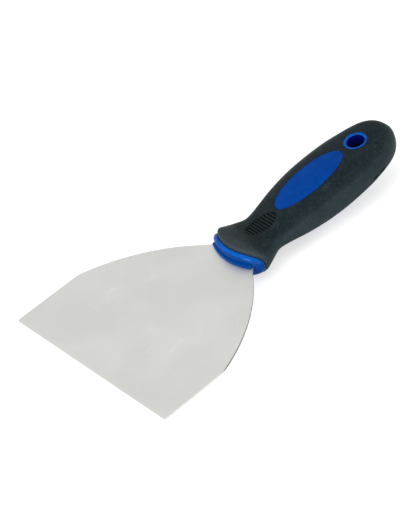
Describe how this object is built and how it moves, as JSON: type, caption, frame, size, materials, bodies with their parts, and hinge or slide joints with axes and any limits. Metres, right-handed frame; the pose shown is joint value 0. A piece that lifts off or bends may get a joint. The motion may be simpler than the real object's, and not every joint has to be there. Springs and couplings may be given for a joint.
{
  "type": "filling knife",
  "caption": "Wide flat filling knife: straight working edge, curved flanks, a collared two-material grip with an oval inlay, ribbed thumb patch and a lined hang hole.",
  "frame": {"origin": "on the axis of the hang hole, in the mid plane of the blade", "axes": "+X along the tool from the butt to the working edge, +Y across the tool to its left when seen from above with the edge forward, +Z square to the blade out of its upper face, along the hang hole"},
  "size_m": [0.2083, 0.125, 0.0213],
  "materials": {
    "blade_steel": "satin",
    "core_plastic": "semi-gloss",
    "grip_rubber": "matte"
  },
  "bodies": {
    "root": {"blade": "blade_steel", "handle_core": "core_plastic", "grip_overmould": "grip_rubber"}
  },
  "joints": []
}
